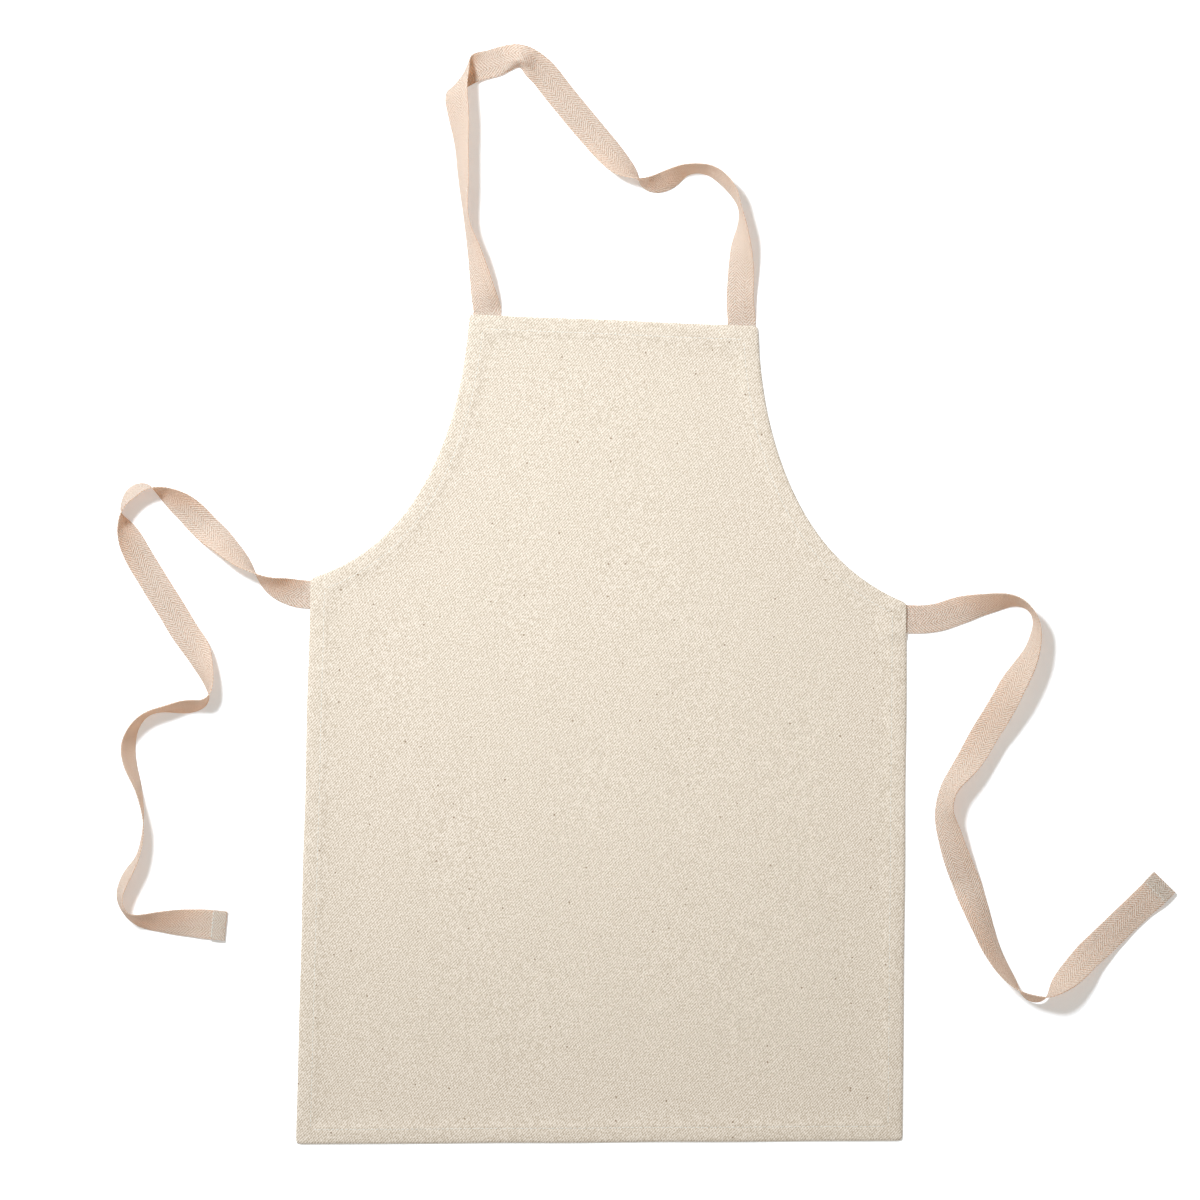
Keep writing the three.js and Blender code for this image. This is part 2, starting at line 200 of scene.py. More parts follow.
# %% The panel's outline
BIB_WIDTH = 0.196
UNDERARM_WIDTH = 0.4055
HEMLINE_WIDTH = 0.412
PANEL_LENGTH = 0.559
UNDERARM_HEIGHT = 0.375
ARMHOLE_TOP_REACH = 0.079
ARMHOLE_TOP_SPREAD = 0.004
ARMHOLE_SIDE_REACH = 0.073
ARMHOLE_SIDE_RISE = 0.025
LAY_SKEW = math.radians(1.36)
STATION_STEP = 3.2 * MM
FINE_STEPS = 400


def laid(x, height):
    """A point of the cut shape, where the slightly skewed cloth lies."""
    lean = 1 - 2 * min(height / UNDERARM_HEIGHT, 1)
    return np.array([x, height + x * math.tan(LAY_SKEW) * lean])


def armhole(side, share):
    """A point on the armhole, from the underarm at 0 to the bib at 1; side is +1 for the right."""
    handles = [
        (UNDERARM_WIDTH / 2, UNDERARM_HEIGHT),
        (UNDERARM_WIDTH / 2 - ARMHOLE_SIDE_REACH, UNDERARM_HEIGHT + ARMHOLE_SIDE_RISE),
        (BIB_WIDTH / 2 + ARMHOLE_TOP_SPREAD, PANEL_LENGTH - ARMHOLE_TOP_REACH),
        (BIB_WIDTH / 2, PANEL_LENGTH),
    ]
    weights = [math.comb(3, k) * share**k * (1 - share) ** (3 - k) for k in range(4)]
    x = sum(w * h[0] for w, h in zip(weights, handles))
    y = sum(w * h[1] for w, h in zip(weights, handles))
    return laid(side * x, y)


corner = {
    "hem_left": laid(-HEMLINE_WIDTH / 2, 0),
    "hem_right": laid(HEMLINE_WIDTH / 2, 0),
    "arm_right": laid(UNDERARM_WIDTH / 2, UNDERARM_HEIGHT),
    "arm_left": laid(-UNDERARM_WIDTH / 2, UNDERARM_HEIGHT),
    "bib_right": laid(BIB_WIDTH / 2, PANEL_LENGTH),
    "bib_left": laid(-BIB_WIDTH / 2, PANEL_LENGTH),
}
all_corners = np.array(list(corner.values()))
middle = (all_corners.min(0) + all_corners.max(0)) / 2
corner = {name: place - middle for name, place in corner.items()}


def straight(start, end):
    """An edge from corner to corner, as a function of the share of the way along it."""
    return lambda share: corner[start] + (corner[end] - corner[start]) * share


edge_lines = {
    "bottom_hem": straight("hem_left", "hem_right"),
    "right_side_hem": straight("hem_right", "arm_right"),
    "right_armhole_hem": lambda share: armhole(1, share) - middle,
    "top_hem": straight("bib_right", "bib_left"),
    "left_armhole_hem": lambda share: armhole(-1, 1 - share) - middle,
    "left_side_hem": straight("arm_left", "hem_left"),
}
edge_points, edge_share = [], []
for line in edge_lines.values():
    fine = np.array([line(share) for share in np.linspace(0, 1, FINE_STEPS)])
    reach = reach_along(fine)
    count = round(reach[-1] / STATION_STEP)
    steps = np.linspace(0, reach[-1], count + 1)[:-1]
    edge_points.append(np.stack([np.interp(steps, reach, fine[:, axis]) for axis in (0, 1)], 1))
    edge_share.append(steps / reach[-1])
edge_start = np.concatenate([[0], np.cumsum([len(points) for points in edge_points])])
outline = np.concatenate(edge_points)
run = reach_along(outline)
print("stations round the panel:", len(outline), "perimeter:", round(run[-1], 3), "m")

# %% [markdown]
# A hem is as deep at a corner as along an edge, so a corner's stations are pulled in along the
# mitre. Between corners this slant fades evenly from one mitre to the next, which spreads an inner
# ring's stations along its own shorter edges.

# %% Directions in from the edge
leaving = np.roll(outline, -1, axis=0) - outline
leaving /= np.linalg.norm(leaving, axis=1)[:, None]
arriving = np.roll(leaving, 1, axis=0)
inward = np.zeros_like(outline)
for index in range(len(edge_lines)):
    here, there = edge_start[index], edge_start[index + 1] % len(outline)
    slants = []
    for station in (here, there):
        before, after = arriving[station], leaving[station]
        turn = math.atan2(before[0] * after[1] - before[1] * after[0], before @ after)
        slants.append(math.tan(turn / 2))
    for station in range(here, edge_start[index + 1]):
        share = edge_share[index][station - here]
        own = leaving[station] if station == here else arriving[station] + leaving[station]
        own = own / np.linalg.norm(own)
        slant = slants[0] * (1 - share) - slants[1] * share
        inward[station] = np.array([-own[1], own[0]]) + own * slant

# %% [markdown]
# ## Where the tapes leave the hems
#
# Each tape is caught in a hem, and leaves it square to the folded edge. There the hem lies over the
# tape, so its edge is lifted a little, most of all at the right waist tie.

# %% Exits of the tapes
TAPE_WIDTH = 0.019
TAPE_THICKNESS = 0.7 * MM
TAPE_CAUGHT = 0.0108
CAUGHT_HEIGHT = 1.0 * MM
LIFT_SIDES = (TAPE_WIDTH / 2 + 0.5 * MM, TAPE_WIDTH / 2 + 6 * MM)
LIFT_DEPTHS = (10 * MM, 24 * MM)


def exit_at(near, far, distance, side, lift):
    """Where a tape leaves the hem between two corners, some distance from the near one."""
    along = (corner[far] - corner[near]) / np.linalg.norm(corner[far] - corner[near])
    outward = np.array([-along[1], along[0]]) * side
    place = corner[near] + along * distance
    return {"place": place, "along": along, "outward": outward, "lift": lift}


exits = {
    "neck_left": exit_at("bib_left", "bib_right", 12.0 * MM, 1, 1.5 * MM),
    "neck_right": exit_at("bib_right", "bib_left", 11.0 * MM, -1, 1.3 * MM),
    "left_tie": exit_at("arm_left", "hem_left", 10.9 * MM, -1, 1.3 * MM),
    "right_tie": exit_at("arm_right", "hem_right", 10.9 * MM, 1, 2.1 * MM),
}


def lift_over_tapes(x, y):
    """How far the hem is raised by the tape ends under it."""
    lift = np.zeros_like(x)
    for leaving_at in exits.values():
        dx, dy = x - leaving_at["place"][0], y - leaving_at["place"][1]
        aside = np.abs(dx * leaving_at["along"][0] + dy * leaving_at["along"][1])
        inside = -(dx * leaving_at["outward"][0] + dy * leaving_at["outward"][1])
        over = (1 - eased(aside, *LIFT_SIDES)) * (1 - eased(inside, *LIFT_DEPTHS))
        lift = np.maximum(lift, leaving_at["lift"] * over)
    return lift


# %% [markdown]
# ## The panel
#
# The whole panel is one sheet: the face, the fold at the edge and the hem's layers underneath. Its
# rows are rings round the panel, from the middle of the face out to the fold and back to the middle
# of the underside. Each ring's distance from the edge and its height come from a section through
# the hem, and uneven ripples then take away the flatness that no laid cloth has.

# %% The section through a hem
STITCH_INSET = 9.7 * MM
HEM_SECTION = [  # distance in from the fold and height, in millimetres, over the face and back
    (46, 0.8), (40, 0.84), (34, 0.92), (28, 1.04), (23, 1.18), (19, 1.34), (16, 1.48), (14, 1.6),
    (12.8, 1.72), (12.0, 1.84), (11.4, 1.93), (10.8, 1.95), (10.2, 1.88), (9.7, 1.84), (9.2, 1.9),
    (8.6, 2.0), (7.6, 2.07), (6, 2.1), (4.2, 2.1), (2.7, 2.07), (1.6, 1.98), (0.8, 1.78),
    (0.25, 1.42), (0, 1.05), (0.25, 0.6), (0.8, 0.25), (1.6, 0.08), (4.2, 0.04), (8, 0.04),
    (9.2, 0.12), (9.7, 0.22), (10.2, 0.12), (11, 0.06), (11.4, 0.2), (11.6, 0.6), (11.5, 0.92),
    (12.1, 1.0), (14, 0.86), (16, 0.74), (19, 0.6), (23, 0.46), (28, 0.32), (34, 0.2), (40, 0.13),
    (46, 0.1),
]
FACE_RINGS = 38
UNDERSIDE_RINGS = 12
hem_depths = np.array([depth for depth, height in HEM_SECTION]) * MM
hem_heights = np.array([height for depth, height in HEM_SECTION]) * MM
inner_depth, hem_height = hem_depths[0], hem_heights.max()
EDGE_WANDER = 0.34 * MM
EDGE_WANDER_FADE = (2 * MM, 16 * MM)
CORNER_BLUNT = 0.6 * MM
CORNER_REACH = 3.4 * MM


def edge_waver(depth):
    """The folded edge is never ruled: it wanders in and out, and each corner is a little blunt."""
    wander = EDGE_WANDER * ripples(run, run * 0, (0.083, 0.047, 0.131, 0.029), seed=5)
    blunt = np.zeros(len(outline))
    for place in corner.values():
        distance = np.linalg.norm(outline - place, axis=1)
        blunt = np.maximum(blunt, CORNER_BLUNT * np.clip(1 - distance / CORNER_REACH, 0, 1))
    return (wander + blunt) * (1 - eased(depth, *EDGE_WANDER_FADE))


def ring(depth, height):
    """The places of one ring of the hem, pulled in by depth and raised to height."""
    flat = outline + inward * (depth + edge_waver(depth))[:, None]
    return np.column_stack([flat, np.full(len(flat), height)])


hem_rings = [ring(depth, height) for depth, height in zip(hem_depths, hem_heights)]
face_shares = np.linspace(0, 1, FACE_RINGS + 1)[:-1]
underside_shares = np.linspace(1, 0, UNDERSIDE_RINGS + 1)[1:]
rings = [hem_rings[0] * (share, share, 1) for share in face_shares]
rings += hem_rings
rings += [hem_rings[-1] * (share, share, 1) for share in underside_shares]
places = np.array(rings)
depth_of_row = np.concatenate([
    np.full(FACE_RINGS, inner_depth), hem_depths, np.full(UNDERSIDE_RINGS, inner_depth)])

# %% Ripples, puckers and lifted edges
CLOTH_WAVE = 0.55 * MM
WAVE_LEFT_IN_HEM = 0.25
PUCKER_HEIGHT = 0.13 * MM
PUCKER_SPREAD = 5 * MM
LIFT_LEFT_ON_FACE = 0.5

x, y = places[..., 0], places[..., 1]
near_hem = 1 - eased(depth_of_row, 10 * MM, inner_depth)[:, None]
cloth_wave = CLOTH_WAVE * (1 + ripples(x, y, (0.19, 0.13, 0.11, 0.083, 0.071), seed=11)) / 2
run_of_station = np.broadcast_to(run, x.shape)
pucker = ripples(run_of_station, run_of_station * 0, (0.0113, 0.0171, 0.0093, 0.0263), seed=3)
at_seam = np.exp(-(((depth_of_row - STITCH_INSET) / PUCKER_SPREAD) ** 2))[:, None]
fade_at_fold = eased(depth_of_row, 0, 3 * MM)[:, None]
share_of_hem = np.clip(places[..., 2] / hem_height, 0, 1)
height = places[..., 2] + cloth_wave * (1 - (1 - WAVE_LEFT_IN_HEM) * near_hem)
height = height + PUCKER_HEIGHT * (1 + pucker) * at_seam * fade_at_fold
height = height + lift_over_tapes(x, y) * (1 - (1 - LIFT_LEFT_ON_FACE) * share_of_hem)
places[..., 2] = height
places[0, :, :2] = 0
places[-1, :, :2] = 0
places[0, :, 2] = places[0, :, 2].mean()
places[-1, :, 2] = places[-1, :, 2].mean()
places = np.concatenate([places, places[:, :1]], axis=1)
panel = carried_grid("panel_cloth", places, np.append(run, run[-1] + STATION_STEP),
                     np.linspace(0, 1, len(places)))
print("panel:", len(panel.data.vertices), "points")

# %% [markdown]
# ## The tapes
#
# A woven tape bends easily along its length and twists, but it hardly bends across its width. So
# each tape is a ribbon: a route gives its middle line and, at each point, how far the ribbon is
# rolled about that line. The routes keep close to those of the engineered model. After a point's
# place come the roll in degrees and, where there is one, the lean of the weft off square. Where a
# tape touches the table, its lower edge rests on it.

# %% Routes of the three tapes, from the place where each leaves its hem
NECK_ROUTE = [
    (-0.003, 0.017, 0.0053, -31), (-0.009, 0.0425, 0.0088, -60), (-0.015, 0.065, 0.0106, -80),
    (-0.0175, 0.093, 0.0116, -67), (-0.019, 0.1145, 0.0124, -60),
    (-0.0215, 0.1355, 0.0145, -41), (-0.023, 0.147, 0.0156, -36, -4),
    (-0.0222, 0.1565, 0.0128, -58, -20), (-0.0165, 0.164, 0.0056, -140, -34),
    (-0.0085, 0.1685, 0.0022, -180, -22), (0, 0.1705, 0.0014, -181, -6),
    (0.01, 0.174, 0.0034, -188),
    (0.019, 0.175, 0.0052, -190), (0.0275, 0.171, 0.0046, -184), (0.035, 0.165, 0.0022, -180),
    (0.0435, 0.1545, 0.0009, -180), (0.0555, 0.1405, 0.0008, -180),
    (0.0685, 0.1255, 0.0012, -183), (0.082, 0.1105, 0.0036, -199), (0.092, 0.1, 0.007, -225),
    (0.1005, 0.0935, 0.0098, -265), (0.1085, 0.091, 0.0087, -300),
    (0.117, 0.0915, 0.0074, -313), (0.1245, 0.0955, 0.008, -308), (0.1305, 0.0995, 0.009, -295),
    (0.139, 0.1015, 0.0096, -286), (0.1495, 0.1005, 0.0095, -288),
    (0.1575, 0.0955, 0.0094, -291), (0.166, 0.086, 0.0096, -285),
    (0.1705, 0.0755, 0.0099, -274), (0.1725, 0.062, 0.0093, -290), (0.172, 0.048, 0.0068, -318),
    (0.172, 0.03, 0.0038, -338), (0.172, 0.0125, 0.0024, -348),
]
LEFT_TIE_ROUTE = [
    (-0.0085, 0.0005, 0.0019, -9), (-0.0165, 0.0025, 0.004, -23), (-0.0235, 0.005, 0.0069, -43),
    (-0.0305, 0.0085, 0.0093, -68), (-0.037, 0.013, 0.0099, -88), (-0.047, 0.022, 0.0084, -122),
    (-0.0595, 0.0335, 0.0057, -146), (-0.0725, 0.0445, 0.0014, -174),
    (-0.0835, 0.0555, 0.003, -196), (-0.091, 0.0615, 0.0058, -215),
    (-0.0975, 0.066, 0.0082, -235), (-0.105, 0.0695, 0.0096, -258),
    (-0.1115, 0.071, 0.0097, -281), (-0.1205, 0.068, 0.0086, -300),
    (-0.1265, 0.0605, 0.0095, -286), (-0.1295, 0.052, 0.0098, -272),
    (-0.127, 0.0435, 0.0083, -238), (-0.122, 0.0335, 0.0052, -209),
    (-0.114, 0.0185, 0.002, -190), (-0.1035, 0.0025, 0.0009, -180),
    (-0.085, -0.0265, 0.0014, -176), (-0.075, -0.041, 0.0036, -160),
    (-0.0695, -0.053, 0.0078, -128), (-0.0667, -0.0652, 0.0098, -106),
    (-0.068, -0.0722, 0.0097, -86), (-0.0737, -0.0762, 0.0088, -67),
    (-0.0855, -0.078, 0.0089, -63), (-0.097, -0.0795, 0.0096, -78),
    (-0.109, -0.083, 0.0098, -82), (-0.1175, -0.092, 0.0096, -74),
    (-0.1215, -0.105, 0.0089, -64), (-0.1195, -0.1185, 0.009, -68),
    (-0.1135, -0.1355, 0.0096, -82), (-0.11, -0.1585, 0.0098, -95),
    (-0.1135, -0.1805, 0.0097, -100), (-0.121, -0.194, 0.0092, -111),
    (-0.1255, -0.208, 0.0096, -106), (-0.1205, -0.2195, 0.0098, -101),
    (-0.1095, -0.2235, 0.0084, -122), (-0.095, -0.224, 0.0064, -142),
    (-0.08, -0.2245, 0.0034, -165), (-0.0655, -0.2255, 0.0021, -180),
    (-0.053, -0.2265, 0.0021, -180),
]
RIGHT_TIE_ROUTE = [
    (0.0105, 0, 0.001, 0), (0.023, 0.002, 0.0014, 4), (0.0355, 0.0065, 0.0026, 12),
    (0.0475, 0.01, 0.006, 35), (0.06, 0.0125, 0.0077, 50), (0.0695, 0.014, 0.0088, 63),
    (0.0775, 0.0125, 0.0095, 76), (0.0845, 0.007, 0.0098, 85), (0.088, -0.001, 0.0098, 80),
    (0.0875, -0.0105, 0.0096, 70), (0.0855, -0.0185, 0.01, 63), (0.081, -0.0285, 0.0115, 47),
    (0.0725, -0.0435, 0.0145, 24), (0.0635, -0.0605, 0.0132, 12), (0.054, -0.077, 0.0108, 12),
    (0.0455, -0.0925, 0.0094, 24), (0.0375, -0.104, 0.01, 44), (0.031, -0.113, 0.0102, 55),
    (0.028, -0.123, 0.0096, 57), (0.0275, -0.131, 0.0086, 52), (0.0305, -0.1425, 0.0066, 37),
    (0.037, -0.1625, 0.0036, 19), (0.044, -0.179, 0.0014, 4), (0.0495, -0.194, 0.004, -22),
    (0.055, -0.2085, 0.0065, -39), (0.0615, -0.2235, 0.008, -51), (0.0685, -0.2355, 0.009, -61),
    (0.0765, -0.246, 0.0102, -75), (0.0825, -0.2525, 0.0112, -96),
    (0.0895, -0.256, 0.0114, -108), (0.0965, -0.256, 0.012, -103),
    (0.1025, -0.2525, 0.0122, -80), (0.1075, -0.247, 0.0112, -56),
    (0.116, -0.2385, 0.0086, -33), (0.1255, -0.228, 0.005, -19), (0.1375, -0.2165, 0.0022, -8),
    (0.1475, -0.2065, 0.0012, -4), (0.159, -0.1955, 0.0012, 0), (0.1695, -0.185, 0.0021, 0),
    (0.1785, -0.1755, 0.0021, 0),
]
STRAIGHT_EXIT = 3 * MM


def leaving_points(name, roll):
    """A tape's first points, from its caught end to just past the folded edge."""
    reaches = (-TAPE_CAUGHT, -TAPE_CAUGHT / 2, 0, STRAIGHT_EXIT)
    return [(*(exits[name]["place"] + exits[name]["outward"] * reach), CAUGHT_HEIGHT, roll, 0)
            for reach in reaches]


def placed(name, route):
    """A route's points from its exit, each with a lean, which is 0 where none is given."""
    start = exits[name]["place"]
    return [(start[0] + x, start[1] + y, height, roll, *(lean or [0]))
            for x, y, height, roll, *lean in route]


tape_points = {
    "neck_strap": leaving_points("neck_left", 0) + placed("neck_left", NECK_ROUTE)
    + leaving_points("neck_right", -360)[::-1],
    "left_tie": leaving_points("left_tie", 0) + placed("left_tie", LEFT_TIE_ROUTE),
    "right_tie": leaving_points("right_tie", 0) + placed("right_tie", RIGHT_TIE_ROUTE),
}


# %% [markdown]
# A centripetal Catmull-Rom curve passes through every point without loops. The roll and the lean
# follow the plain kind, at the same share of each span.

# %% A smooth curve through a route
def smooth_through(points, power, per_span=24):
    """Points on a Catmull-Rom curve; power 0.5 is the centripetal kind and 0 the plain one."""
    points = np.vstack([2 * points[0] - points[1], points, 2 * points[-1] - points[-2]])
    share = np.linspace(0, 1, per_span, endpoint=False)[:, None]
    spans = []
    for p0, p1, p2, p3 in zip(points, points[1:], points[2:], points[3:]):
        d0, d1, d2 = (np.linalg.norm(b - a) ** power if power else 1
                      for a, b in ((p0, p1), (p1, p2), (p2, p3)))
        start = ((p1 - p0) / d0 - (p2 - p0) / (d0 + d1) + (p2 - p1) / d1) * d1
        end = ((p2 - p1) / d1 - (p3 - p1) / (d1 + d2) + (p3 - p2) / d2) * d1
        bend, twist = 3 * (p2 - p1) - 2 * start - end, 2 * (p1 - p2) + start + end
        spans.append(p1 + share * (start + share * (bend + share * twist)))
    return np.vstack([*spans, points[-2]])


class Ribbon:
    """A tape's middle line, with its directions along, across and out of its face."""

    def __init__(self, points):
        points = np.array(points)
        self.centre = smooth_through(points[:, :3], 0.5)
        turns = np.radians(smooth_through(points[:, 3:5], 0))
        along = np.gradient(self.centre, axis=0)
        along /= np.linalg.norm(along, axis=1)[:, None]
        level = np.cross((0, 0, 1), along)
        level /= np.linalg.norm(level, axis=1)[:, None]
        raised = np.cross(along, level)
        roll, lean = turns[:, :1], turns[:, 1:]
        square = np.cos(roll) * level + np.sin(roll) * raised
        self.face = np.cross(along, square)
        self.across = square + along * np.tan(lean)
        self.reach = reach_along(self.centre)
        self.length = self.reach[-1]

    def at(self, distances):
        """Centre, across and face at some distances along the tape."""
        return [np.stack([np.interp(distances, self.reach, whole[:, axis]) for axis in range(3)], 1)
                for whole in (self.centre, self.across, self.face)]


ribbons = {name: Ribbon(points) for name, points in tape_points.items()}
print({name: round(float(ribbon.length), 3) for name, ribbon in ribbons.items()}, "m")

# %% [markdown]
# The free end of each waist tie is folded twice and stitched. In section that is a hairpin: along
# the tape's face, round the tip, back underneath, and in again between the two layers.

# %% The hairpin at the end of a tie
TIE_HEM_LENGTH = 11 * MM
LAYER_STEP = 0.9 * MM
TIE_SEAM_INSET = 9.3 * MM
TIE_HEM_INNER_END = 9.5 * MM
HEM_SPREAD = 1.06
TAPE_COLUMNS = 14
ROW_STEP = 1.5 * MM


def hairpin():
    """Rows of the folded end: distance past the hem's start, and height off the middle."""
    small, tip = LAYER_STEP / 2, TIE_HEM_LENGTH - LAYER_STEP
    turn_back = 2.3 * small
    rows = [(reach, LAYER_STEP) for reach in np.linspace(0, tip, 8)]
    rows += [(tip + LAYER_STEP * math.sin(a), LAYER_STEP * math.cos(a))
             for a in np.linspace(0, math.pi, 7)[1:]]
    rows += [(reach, -LAYER_STEP) for reach in np.linspace(tip, turn_back, 8)[1:]]
    rows += [(turn_back - small * math.sin(a), -small - small * math.cos(a))
             for a in np.linspace(0, math.pi, 6)[1:]]
    rows += [(reach, 0) for reach in np.linspace(turn_back, TIE_HEM_INNER_END, 7)[1:]]
    return np.array(rows)


def ribbon_rows(name):
    """For each row of a tape's cloth: distance along the route, height off the middle, width as a
    share of the tape's, and distance along the cloth itself."""
    ribbon = ribbons[name]
    if name == "neck_strap":
        count = round(ribbon.length / ROW_STEP)
        reach = np.linspace(0, ribbon.length, count + 1)
        return reach, np.zeros(count + 1), np.ones(count + 1), reach
    hem_start = ribbon.length - TIE_HEM_LENGTH
    count = round(hem_start / ROW_STEP)
    reach = np.linspace(0, hem_start, count + 1)[:-1]
    lifted = LAYER_STEP * eased(reach, hem_start - 7 * MM, hem_start)
    folded = hairpin()
    reaches = np.concatenate([reach, hem_start + folded[:, 0]])
    heights = np.concatenate([lifted, folded[:, 1]])
    step = np.hypot(np.diff(reaches), np.diff(heights))
    spread = 1 + (HEM_SPREAD - 1) * eased(reaches, hem_start - 12 * MM, hem_start + 1 * MM)
    return reaches, heights, spread, np.concatenate([[0], np.cumsum(step)])


# %% [markdown]
# A tight bend in the route would kink the cloth, so the rows are averaged a little. At the top of
# the neck strap the tape is pinched up into a short ridge, which draws its inner edge in.

# %% Easing, and the pinch at the top of the neck strap
EASED_ROWS = 6
EASING_WIDTH = 2.0
PINCH = [  # in millimetres: x from the left exit, how far the ridge is off the middle, its height
    (4, 9.3, 0.6), (8, 8.6, 1.6), (12, 7.0, 4.0), (15, 4.4, 7.4), (18, 2.4, 10.2), (21, 1.6, 11.4),
    (24, 1.8, 11.0), (27, 3.4, 7.6), (30, 6.0, 3.0), (33, 8.5, 0.8),
]
PINCH_BEGINS, PINCH_ENDS = (3 * MM, 9 * MM), (31 * MM, 36 * MM)
PINCH_REACH = (0.15, 0.23)
PINCH_FLOOR = 0.5 * MM
OUTER_EDGE_SHARE = 0.45
DRAWN_IN_SHARE = 0.34


def eased_rows(places, free):
    """The rows averaged with their neighbours where the tape is free, so that no turn is kinked."""
    steps = np.arange(-EASED_ROWS, EASED_ROWS + 1)
    weight = np.exp(-0.5 * (steps / EASING_WIDTH) ** 2)
    before, after = places[:1].repeat(EASED_ROWS, 0), places[-1:].repeat(EASED_ROWS, 0)
    padded = np.concatenate([before, places, after])
    mean = sum(w * padded[k:k + len(places)] for k, w in enumerate(weight)) / weight.sum()
    return places + (mean - places) * free[:, None, None]


def pinch(places, reach, side, centre, across):
    """The strap is pinched up into a short ridge, whose inner side falls steeply to the table."""
    from_exit = centre[:, 0] - exits["neck_left"]["place"][0]
    at, ridge_off, ridge_height = np.array(PINCH).T * MM
    off, top = np.interp(from_exit, at, ridge_off), np.interp(from_exit, at, ridge_height)
    over_arch = (reach > PINCH_REACH[0]) & (reach < PINCH_REACH[1])
    share = eased(from_exit, *PINCH_BEGINS) * (1 - eased(from_exit, *PINCH_ENDS)) * over_arch
    aside = side[None, :] * TAPE_WIDTH - off[:, None]
    inner = np.clip(1 - aside / (TAPE_WIDTH / 2 - off + 0.1 * MM)[:, None], 0, 1)
    outer = np.clip(1 + aside / (TAPE_WIDTH / 2 + off + 0.1 * MM)[:, None], 0, 1)
    outer = OUTER_EDGE_SHARE + (1 - OUTER_EDGE_SHARE) * outer
    raised = top[:, None] * np.where(aside > 0, inner, outer) + PINCH_FLOOR
    places[..., 2] += (raised - places[..., 2]) * share[:, None]
    drawn_in = DRAWN_IN_SHARE * (top * share)[:, None] * np.where(aside > 0, 1 - inner, 0)
    places -= across[:, None] * drawn_in[..., None]


# %% [markdown]
# A tape's selvedges aren't quite straight, and its cloth bows a little across its width. Both are
# small, and the drift and the bow stop at the caught end, which lies flat inside the hem.

# %% The cloth of each tape
FREE_FROM, FREE_BY = TAPE_CAUGHT + 2 * MM, TAPE_CAUGHT + 20 * MM
WIDTH_WAVER = 0.012
DRIFT = 0.25 * MM
BOW = 0.45 * MM
SELVEDGE_RADIUS = 0.22 * MM


def tape_cloth(name, seed):
    """One tape's cloth, resting on the table, with the tape's thickness and rounded selvedges."""
    ribbon = ribbons[name]
    reach, offset, spread, cloth_run = ribbon_rows(name)
    centre, across, face = ribbon.at(reach)
    side = np.linspace(-0.5, 0.5, TAPE_COLUMNS + 1)
    free = eased(reach, FREE_FROM, FREE_BY)
    if name == "neck_strap":
        free = free * eased(ribbon.length - reach, FREE_FROM, FREE_BY)
    waver = ripples(reach, 0 * reach, (0.021, 0.009, 0.037), seed)
    width = TAPE_WIDTH * spread * (1 + WIDTH_WAVER * waver)
    drift = DRIFT * free * ripples(reach, 0 * reach, (0.031, 0.047, 0.017), seed + 1)
    bow = BOW * free * ripples(reach, 0 * reach, (0.083, 0.051, 0.121), seed + 2)
    aside = side[None, :] * width[:, None] + drift[:, None]
    out = offset[:, None] + bow[:, None] * (1 - 4 * side[None, :] ** 2)
    places = centre[:, None] + across[:, None] * aside[..., None] + face[:, None] * out[..., None]
    if name == "neck_strap":
        pinch(places, reach, side, centre, across)
    places = eased_rows(places, free)
    lowest = places[..., 2].min(1) - np.abs(face[:, 2]) * TAPE_THICKNESS / 2
    sunk = np.maximum(0, -lowest)
    folded = reach > ribbon.length - TIE_HEM_LENGTH
    if name != "neck_strap":
        sunk[folded] = sunk[folded].max()
    places[..., 2] += sunk[:, None]
    cloth = carried_grid(name + "_cloth", places, (side + 0.5) * TAPE_WIDTH, cloth_run)
    wall = cloth.modifiers.new("tape thickness", "SOLIDIFY")
    wall.thickness = TAPE_THICKNESS
    wall.offset = 0
    wall.use_even_offset = False
    bevel = cloth.modifiers.new("rounded selvedge", "BEVEL")
    bevel.width = SELVEDGE_RADIUS
    bevel.segments = 2
    bevel.limit_method = "ANGLE"
    bevel.angle_limit = math.radians(50)
    print(cloth.name, len(cloth.data.polygons), "faces")
    return cloth


tapes = {name: tape_cloth(name, seed) for name, seed in
         (("neck_strap", 21), ("left_tie", 31), ("right_tie", 41))}

# %% [markdown]
# ## The stitches
#
# Each seam is a lock stitch: one thread shows as a row of short stitches on the face, the other as
# the same row on the back. Every stitch is a small spindle sunk a little into the cloth, because
# that, more than any paint, is what makes a seam look sewn.

# %% A row of stitches along a line
STITCH_PITCH = 3.0 * MM
STITCH_SIZE = (2.45 * MM, 0.6 * MM, 0.42 * MM)
STITCH_PLACE_ERROR = 0.08 * MM
STITCH_SLANT, STITCH_SLANT_ERROR = 0.05, 0.03
STITCH_SIZE_ERROR = 0.04
NEEDLE_RISE = 0.08 * MM
TIE_STITCH_RISE = 0.02 * MM
TIE_SEAM_MARGIN = 0.7 * MM
stitch_draw = np.random.default_rng(7)
POLES_ALONG = Matrix.Rotation(math.pi / 2, 4, "Y")


